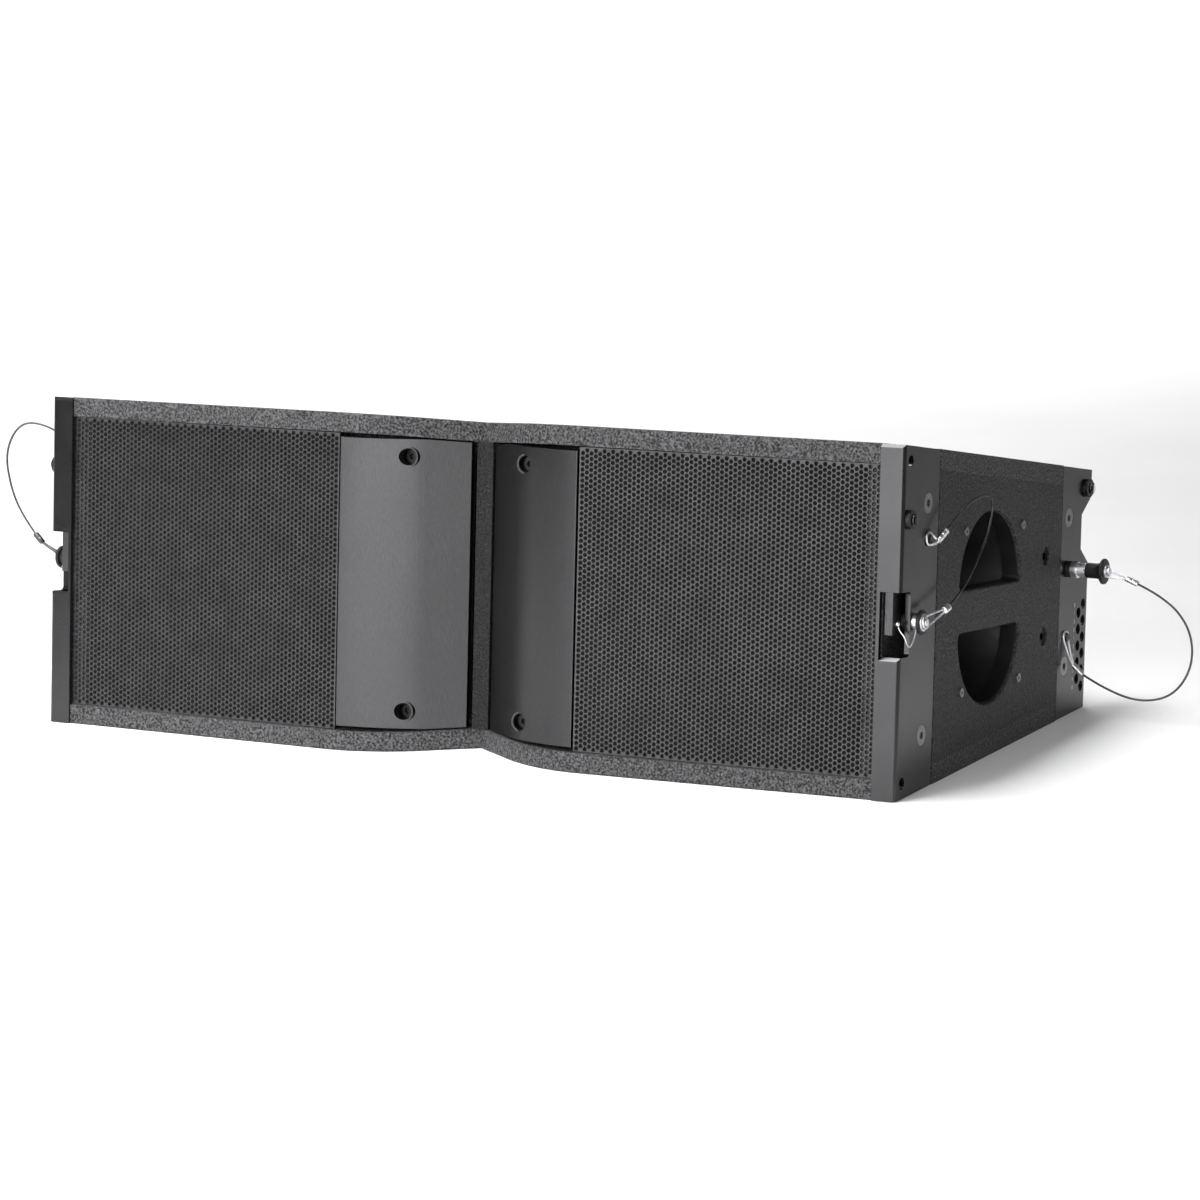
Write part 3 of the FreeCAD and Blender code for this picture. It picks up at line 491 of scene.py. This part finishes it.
def rope_mesh(name, line):
    """Stranded wire: six strands laid round a core."""
    line = evenly(line, 0.7 * MM)
    pairs = frames_along(line)
    strand = WIRE_R / 3 * MM
    verts, faces = sweep(line, strand, pairs)
    for s in range(STRANDS):
        offset = []
        run = 0.0
        for i, (point, (u, v)) in enumerate(zip(line, pairs)):
            run += (point - line[i - 1]).length if i else 0.0
            turn = math.tau * (run / (LAY_PITCH * MM) + s / STRANDS)
            offset.append(point + (u * math.cos(turn) + v * math.sin(turn)) * strand * 2)
        more, sides = sweep(offset, strand, frames_along(offset), 6, len(verts))
        verts += more
        faces += sides
    return mesh_from(name, verts, faces)


def outward(point, side):
    return put(point[0] * side, point[1], point[2])


def make_lanyard(name, route):
    side = SIDES[name.split("_")[1]]
    line = smooth_line([outward(p, side) for p in route["points"]])
    rope = add_piece("lanyard_rope_" + name, rope_mesh("rope_" + name, line), "wire",
                     replaces=["lanyard_" + name], smooth=60)
    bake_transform(rope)
    return rope


for lanyard_name, lanyard_route in ROUTES.items():
    make_lanyard(lanyard_name, lanyard_route)


def eye_mesh(name, centre, near, far, side):
    """Wire loop round a stud at centre, drawn to a point at near, inside the ferrule."""
    c, n, f = Vector(centre), Vector(near), Vector(far)
    aim = Vector((0, n.y - c.y, n.z - c.z)).normalized()
    across = Vector((0, -aim.z, aim.y))
    inside = (f - n).normalized()
    loop = [n + inside * 3 + across * 1.0, n - inside * 1.0 + across * 1.25]
    for i in range(9):
        turn = math.radians(60 + 30 * i)
        loop.append(c + (aim * math.cos(turn) + across * math.sin(turn)) * EYE_R * 1.03)
    loop += [n - inside * 1.0 - across * 1.25, n + inside * 3 - across * 1.0]
    return rope_mesh(name, smooth_line([outward(p, side) for p in loop], 8))


def ferrule_mesh(name, near, far, side):
    """Crimped sleeve: a flattened tube with rounded ends and three crimp grooves."""
    a, b = outward(near, side), outward(far, side)
    rings = 36
    line = [a.lerp(b, i / rings) for i in range(rings + 1)]
    wide = (Vector((0, 1, 0)) - (b - a).normalized() * (b - a).normalized().y).normalized()
    flat = (b - a).normalized().cross(wide)
    verts, faces = [], []
    count = 24
    for i, point in enumerate(line):
        t = i / rings
        end = min(t, 1 - t)
        size = 0.72 + 0.28 * math.sqrt(max(0.0, 1 - (1 - min(1.0, end / 0.08)) ** 2))
        groove = 0.14 * max(0.0, math.cos(math.tau * 3 * (t - 0.5))) ** 6 if 0.15 < t < 0.85 else 0.0
        for k in range(count):
            turn = math.tau * k / count
            verts.append(point + (wide * math.cos(turn) * 1.25 + flat * math.sin(turn))
                         * FERRULE_R * MM * size * (1 - groove))
    for j in range(rings):
        for k in range(count):
            p, q = j * count + k, j * count + (k + 1) % count
            faces.append([p, q, q + count, p + count])
    faces += [list(range(count)), [rings * count + k for k in range(count)]]
    return mesh_from(name, verts, faces)


def make_eyes():
    """The fixed eyes stay with the cabinet and stand for their CAD node; the others ride on pins.

    The left lanyard's fittings take the darker wire look instead of bright steel: painted shade, as that
    lanyard hangs in shade."""
    for name, route in ROUTES.items():
        side = SIDES[name.split("_")[1]]
        # The left side's darker look is painted shade.
        look = "bare_steel" if side > 0 else "wire"
        points = route["points"]
        anchor = (SIDE + 1.0, *route["anchor"])
        add_piece("eye_fixed_" + name, eye_mesh("eye_fixed_" + name, anchor,
                     route["fixed"], points[0], side), look, "cabinet", smooth=60)
        add_piece("ferrule_fixed_" + name, ferrule_mesh("ferrule_fixed_" + name, route["fixed"],
                  points[0], side), look, "cabinet", smooth=40)
        on_pin = (route["head"] + 1.0, *route["pin"])
        add_piece("eye_pin_" + name, eye_mesh("eye_pin_" + name, on_pin, route["free"],
                  points[-1], side), look, "pin_" + name, smooth=60)
        add_piece("ferrule_pin_" + name, ferrule_mesh("ferrule_pin_" + name, route["free"],
                  points[-1], side), look, "pin_" + name, smooth=40)
    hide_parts("lanyard_anchors")


make_eyes()


# ------------------------------ quick-release pins ------------------------------
PIN_R = 4.0
BUTTON_HOLE = 3.1
FRONT_SHAFT = 25.0
REAR_SHAFT = 19.5
COLLAR_R = 6.6
GROOVE_R = 6.1
RIM_R = 9.0
RIM_FACES = 96
KNURL_FACES = 160
KEEPER_R = 0.55
KEEPER_BALL = (363.5, 10, -1)
KEEPER_BALL_R = 1.9


def shaft_rings(head, length):
    tip = head - length
    return [(tip, 0.01), (tip, PIN_R - 1.6), (tip + 2.2, PIN_R), (tip + 3.6, PIN_R),
            (tip + 3.9, PIN_R - 0.35), (tip + 4.7, PIN_R - 0.35), (tip + 5.0, PIN_R)]


def knurl(x, turn):
    """Diamond knurling: two sets of shallow helical grooves."""
    return 1 - 0.035 * (max(0.0, math.sin(16 * turn + x * 2.4)) + max(0.0, math.sin(16 * turn - x * 2.4)))


def make_front_pin(side_name, side):
    start, face = SIDE + 0.2, FRONT_HEAD
    name = "front_" + side_name
    hole = face - 6.2
    steel = shaft_rings(start, FRONT_SHAFT) + rounded([
        (start, PIN_R), (start, COLLAR_R), (start + 3.4, COLLAR_R), (start + 3.4, GROOVE_R),
        (start + 4.0, GROOVE_R), (start + 4.0, COLLAR_R), (face, COLLAR_R), (face, BUTTON_HOLE),
        (hole, BUTTON_HOLE), (hole, 0.01)], 0.5)
    verts, faces = lathe(steel, FRONT_PIN, side, faces_round=64)
    # The left pin takes the darker steel: painted shade.
    add_piece("pin_steel_" + name, mesh_from("pin_steel_" + name, verts, faces),
              "bare_steel" if side > 0 else "shade_darkened_steel", "pin_" + name, ["pin_" + name], 35)
    bore = COLLAR_R + 0.02
    rim = rounded([(face - 3.4, bore), (face - 3.4, RIM_R - 0.4), (face - 3.0, RIM_R),
                   (face - 1.0, RIM_R), (face - 0.6, RIM_R - 0.4), (face - 0.6, bore)], 0.3)
    verts, faces = lathe(rim, FRONT_PIN, side, faces_round=RIM_FACES,
                         wave=lambda x, turn: 1 - 0.02 * max(0.0, math.sin(32 * turn)))
    faces = close_ring(faces, len(rim), RIM_FACES)
    add_piece("pin_rim_" + name, mesh_from("pin_rim_" + name, verts, faces), "black_plastic",
              "pin_" + name, ["pin_grip_" + name], 35)
    make_button(name, FRONT_PIN, side, face - 3, face + 2.5)


def make_rear_pin(side_name, side):
    start, face = SIDE + 3.1, REAR_HEAD
    collar, neck = start + 5.5, start + 12.4
    name = "rear_" + side_name
    hole = face - 8.2
    steel = shaft_rings(start, REAR_SHAFT) + rounded([
        (start, PIN_R), (start, 6.5), (collar, 6.5), (collar, 5.2), (collar + 0.8, 5.2)], 0.4)
    verts, faces = lathe(steel + [(neck, 5.2), (neck, 4.1), (face, 4.1), (face, BUTTON_HOLE),
                                  (hole, BUTTON_HOLE), (hole, 0.01)], REAR_PIN, side)
    add_piece("pin_steel_" + name, mesh_from("pin_steel_" + name, verts, faces), "bare_steel",
              "pin_" + name, ["pin_" + name], 35)
    rows = 24
    sleeve = [(collar + 0.9 + (neck - collar - 1.1) * i / rows, 5.6) for i in range(rows + 1)]
    sleeve = [(sleeve[0][0], 5.1)] + sleeve + [(sleeve[-1][0], 5.1)]
    verts, faces = lathe(sleeve, REAR_PIN, side, faces_round=KNURL_FACES, wave=knurl)
    add_piece("pin_knurl_" + name, mesh_from("pin_knurl_" + name, verts, faces), "bare_steel",
              "pin_" + name, smooth=50)
    grip = rounded([(neck, 4.25), (neck, 6.0), (neck + 9.0, 6.0), (neck + 11.4, 6.8),
                    (face - 2.6, 9.2), (face - 2.2, 10.0), (face - 0.6, 10.0), (face, 9.4),
                    (face, 4.25)], 0.5)
    verts, faces = lathe(grip, REAR_PIN, side, faces_round=96)
    add_piece("pin_grip_moulded_" + name, mesh_from("pin_grip_moulded_" + name, verts, faces),
              "black_plastic", "pin_" + name, ["pin_grip_" + name], 35)
    make_button(name, REAR_PIN, side, face - 4, face + 4)


def make_button(name, centre, side, inner, outer):
    rings = [(inner, 0.01)] + rounded([(inner, 0.01), (inner, 3.0), (outer - 0.1, 3.0),
                                       (outer, 2.0), (outer, 0.01)], 0.7, 4)[1:]
    verts, faces = lathe(rings, centre, side, faces_round=40)
    add_piece("pin_release_" + name, mesh_from("pin_release_" + name, verts, faces),
              "bare_steel", "button_" + name, ["pin_button_" + name], 35)


def make_keeper(side_name, side):
    """Wire clip from the front pin's collar into the rail's notch, with a ball at its end."""
    points = [KEEPER_BALL, (364.5, 11, -6), (368.5, 12, -10), (371.3, 13.5, -19),
              (372.6, 17, -15), (373.2, 20, -9), (373.2, 21.3, -5.6)]
    line = evenly(smooth_line([outward(p, side) for p in points], 12), 0.5 * MM)
    verts, faces = sweep(line, KEEPER_R * MM, frames_along(line), 8)
    add_piece("keeper_wire_" + side_name, mesh_from("keeper_wire_" + side_name, verts, faces),
              "bare_steel", "pin_front_" + side_name, smooth=50)
    rings = [(KEEPER_BALL[0] - KEEPER_BALL_R * math.cos(math.pi * k / 12),
              max(0.01, KEEPER_BALL_R * math.sin(math.pi * k / 12))) for k in range(13)]
    verts, faces = lathe(rings, KEEPER_BALL[1:], side, faces_round=24)
    add_piece("keeper_ball_" + side_name, mesh_from("keeper_ball_" + side_name, verts, faces),
              "bare_steel", "pin_front_" + side_name, smooth=50)


def make_liners(side_name, side):
    """Thin steel rings round the mouths of the two parking sockets."""
    for place, centre in PARKING_SOCKETS.items():
        profile = [(SIDE + 4.9, 4.15), (SIDE + 5.2, 4.2), (SIDE + 5.3, 4.35), (SIDE + 5.2, 4.55),
                   (SIDE + 4.9, 4.6)]
        verts, faces = lathe(profile, centre, side)
        faces = close_ring(faces, len(profile), LATHE_FACES)
        name = "socket_liner_%s_%s" % (place, side_name)
        add_piece(name, mesh_from(name, verts, faces), "wire", "cabinet", smooth=35)


for pin_side, pin_sign in SIDES.items():
    make_front_pin(pin_side, pin_sign)
    make_rear_pin(pin_side, pin_sign)
    make_keeper(pin_side, pin_sign)
    make_liners(pin_side, pin_sign)


# ------------------------------ perforated grilles ------------------------------
HOLE_PITCH = 4.1
HOLE_R = 1.77
GRILLE_EDGE = 0.3
SHEET = 1.2


def make_grille(side_name, side):
    """Steel sheet with round holes on a hexagonal pitch, cut as six-sided cells.

    Places on the sheet are counted in whole steps, a third of a column across and half a hole
    pitch up, so that neighbouring cells share their corners."""
    node = "grille_" + side_name
    low, high = upright_box(node)
    x0, x1 = (low.x, high.x) if side > 0 else (-high.x, -low.x)
    z0, z1 = low.z + 0.3, high.z - 0.3
    slope = (high.y - SHEET - low.y) / (x1 - x0)
    width, height = x1 - x0 - 2 * GRILLE_EDGE, z1 - z0 - 2 * GRILLE_EDGE
    columns = int((width / (HOLE_PITCH / math.sqrt(12)) - 1) / 3)
    rows = int((height / (HOLE_PITCH / 2) - 1) / 2)
    last_a, last_b = 3 * columns + 1, 2 * rows + 1
    places, numbers = [], {}

    def spot(a, b):
        return (x0 + GRILLE_EDGE + width * a / last_a, z0 + GRILLE_EDGE + height * b / last_b)

    def corner(a, b):
        """The number of a cell's corner; those on the sheet's border are moved out to it."""
        if (a, b) not in numbers:
            x, z = spot(a, b)
            inside = 0 < a < last_a
            x = x0 if a <= 1 else x1 if a >= last_a - 1 else x
            if b == 0 or (b == 1 and inside):
                z = z0
            if b == last_b or (b == last_b - 1 and inside):
                z = z1
            numbers[(a, b)] = len(places)
            places.append((x, z))
        return numbers[(a, b)]

    cells = []
    for i in range(columns):
        for j in range(rows):
            a, b = 3 * i + 2, 2 * j + 1 + i % 2
            steps = ((2, 0), (1, 1), (-1, 1), (-2, 0), (-1, -1), (1, -1))
            cells.append((a, b, [corner(a + p, b + q) for p, q in steps]))
    shared = len(places)
    front, back, walls = [], [], []
    twelve, six = [], []
    for a, b, ring in cells:
        x, z = spot(a, b)
        n, m = len(twelve), len(six)
        for k in range(12):
            twelve.append((x + HOLE_R * math.cos(math.tau * k / 12),
                           z + HOLE_R * math.sin(math.tau * k / 12)))
        six += twelve[n::2]
        for k in range(6):
            p, q, r = n + 2 * k, n + 2 * k + 1, n + (2 * k + 2) % 12
            u, v = m + k, m + (k + 1) % 6
            front.append([("c", ring[k]), ("c", ring[(k + 1) % 6]), ("f", r), ("f", q), ("f", p)])
            back.append([("d", ring[(k + 1) % 6]), ("d", ring[k]), ("b", u), ("b", v)])
            walls += [[("f", p), ("f", q), ("b", u)], [("f", q), ("b", v), ("b", u)],
                      [("f", q), ("f", r), ("b", v)]]
    borders = {}
    for _, _, ring in cells:
        for p, q in zip(ring, ring[1:] + ring[:1]):
            borders[(p, q)] = (q, p)
    rim = [[("c", q), ("c", p), ("d", p), ("d", q)] for p, q in borders if (q, p) not in borders]
    starts = {"c": 0, "f": shared, "d": shared + len(twelve), "b": 2 * shared + len(twelve)}
    layers = [(places, 0.0), (twelve, 0.0), (places, SHEET), (six, SHEET)]
    verts = [put(side * x, low.y + (x - x0) * slope + deep, z)
             for layer, deep in layers for x, z in layer]
    faces = [[starts[kind] + number for kind, number in face]
             for face in front + back + walls + rim]
    if side < 0:
        faces = [face[::-1] for face in faces]
    mesh = bpy.data.meshes.new("perforated_" + node)
    mesh.from_pydata(verts, [], faces)
    mesh.validate()
    add_piece("perforated_" + node, mesh, "grille_steel", "cabinet", [node])


for grille_side, grille_sign in SIDES.items():
    make_grille(grille_side, grille_sign)


# ------------------------------ handle linings ------------------------------
HANDLE_Y = 162.0
HANDLE_R = 57.0
BRIDGE = 32.0


def pocket_outline(inset):
    """Points (y, z) round the upper handle pocket: a half disc with two rounded corners."""
    level, radius, corner = BRIDGE / 2 + inset, HANDLE_R - inset, 5.0 - inset
    reach = math.sqrt((radius - corner) ** 2 - corner ** 2)
    points = []
    swing = math.asin(corner / (radius - corner))
    for k in range(49):
        turn = swing + (math.pi - 2 * swing) * k / 48
        points.append((HANDLE_Y + radius * math.cos(turn), level - inset + radius * math.sin(turn)))
    for sign in (-1, 1):
        for k in range(1, 9):
            turn = (math.pi / 2 + swing) * k / 8
            start = math.pi - swing if sign < 0 else 1.5 * math.pi
            points.append((HANDLE_Y + sign * reach + corner * math.cos(start + turn),
                           level - inset + corner + corner * math.sin(start + turn)))
    return points


def make_lining(name, side, up):
    """Thin black sleeve through the side panel, between the painted rim and the handle cup."""
    rings = [(SIDE - 15.0, 0.05), (SIDE - 2.6, 0.05), (SIDE - 2.2, 0.4), (SIDE - 2.6, 0.9),
             (SIDE - 15.0, 0.9)]
    verts, faces = [], []
    for x, inset in rings:
        verts += [put(side * x, y, up * z) for y, z in pocket_outline(inset)]
    count = len(verts) // len(rings)
    for j in range(len(rings)):
        below = (j + 1) % len(rings) * count
        for k in range(count):
            n = (k + 1) % count
            faces.append([j * count + k, j * count + n, below + n, below + k])
    add_piece(name, mesh_from(name, verts, faces), "black_plastic", "cabinet", smooth=35)


for lining_side, lining_sign in SIDES.items():
    make_lining("handle_lining_upper_" + lining_side, lining_sign, 1)
    make_lining("handle_lining_lower_" + lining_side, lining_sign, -1)


# ------------------------------ splay scale ------------------------------
NUMBER_Y = 328.6
NUMBER_HEIGHT = 4.2
NUMBER_RAISED = 0.03


def make_scale(side_name, side):
    """Small printed numbers in one column in front of the splay holes, 0 to 10 degrees."""
    holes = sorted([m for m in MOUNTS if m.startswith("splay_hole") and m.endswith(side_name)],
                   key=lambda m: -(TO_UPRIGHT @ Vector(MOUNTS[m]["pos_m"])).z)
    turn = (Matrix.Rotation(math.radians(90 * side), 4, "Z")
            @ Matrix.Rotation(math.radians(90), 4, "X"))
    for number, mount in enumerate(holes):
        text = bpy.data.curves.new("number", "FONT")
        text.body = str(number)
        text.size = NUMBER_HEIGHT
        text.align_x = "CENTER"
        text.align_y = "CENTER"
        text.extrude = NUMBER_RAISED
        holder = bpy.data.objects.new("number", text)
        bpy.context.scene.collection.objects.link(holder)
        bpy.context.view_layer.update()
        mesh = bpy.data.meshes.new_from_object(holder)
        bpy.data.objects.remove(holder)
        level = (TO_UPRIGHT @ Vector(MOUNTS[mount]["pos_m"])).z
        place = Matrix.Translation((side * (SIDE + NUMBER_RAISED), NUMBER_Y, level))
        mesh.transform(TO_ROW @ place @ turn)
        add_piece("splay_number_%d_%s" % (number, side_name), mesh, "white_print", "cabinet")


for scale_side, scale_sign in SIDES.items():
    make_scale(scale_side, scale_sign)


# ------------------------------ studio ------------------------------
def area_light(name, at, aim, width, height, power, spread=180):
    data = bpy.data.lights.new(name, "AREA")
    data.shape = "RECTANGLE"
    data.size = width
    data.size_y = height
    data.energy = power
    data.spread = math.radians(spread)
    light = bpy.data.objects.new(name, data)
    bpy.context.scene.collection.objects.link(light)
    light.location = at
    light.rotation_euler = (Vector(aim) - Vector(at)).to_track_quat("-Z", "Y").to_euler()


def make_studio():
    mesh = bpy.data.meshes.new("floor")
    reach = 30.0
    mesh.from_pydata([(-reach, -reach, 0), (reach, -reach, 0), (reach, reach, 0), (-reach, reach, 0)],
                     [], [(0, 1, 2, 3)])
    floor = bpy.data.objects.new("floor", mesh)
    bpy.context.scene.collection.objects.link(floor)
    paint = Paint("floor", (0.9, 0.9, 0.9), 0.9, Specular_IOR_Level=0.1)
    paint.colours(paint.noise(3.0), 0.3, 0.7, (0.88, 0.88, 0.88), (0.92, 0.92, 0.92))
    mesh.materials.append(paint.material)
    world = bpy.data.worlds.new("world")
    world.use_nodes = True
    world.node_tree.nodes["Background"].inputs["Color"].default_value = (1, 1, 1, 1)
    world.node_tree.nodes["Background"].inputs["Strength"].default_value = 0.14
    bpy.context.scene.world = world
    area_light("front", (0.35, -3.4, 1.2), (0.1, 0, 0.5), 4.7, 2.4, 160)
    area_light("rear_left", (-1.8, 3.0, 1.8), (0, 0, 0.1), 1.6, 1.2, 30)
    area_light("top", (-0.9, -0.8, 3.0), (-0.7, -0.8, 0), 1.8, 1.8, 40, 60)
    area_light("far_floor", (-4.5, 7.0, 5.0), (-4.5, 7.0, 0), 8.0, 12.0, 600, 70)
    bpy.context.scene.view_settings.view_transform = "Standard"


make_studio()
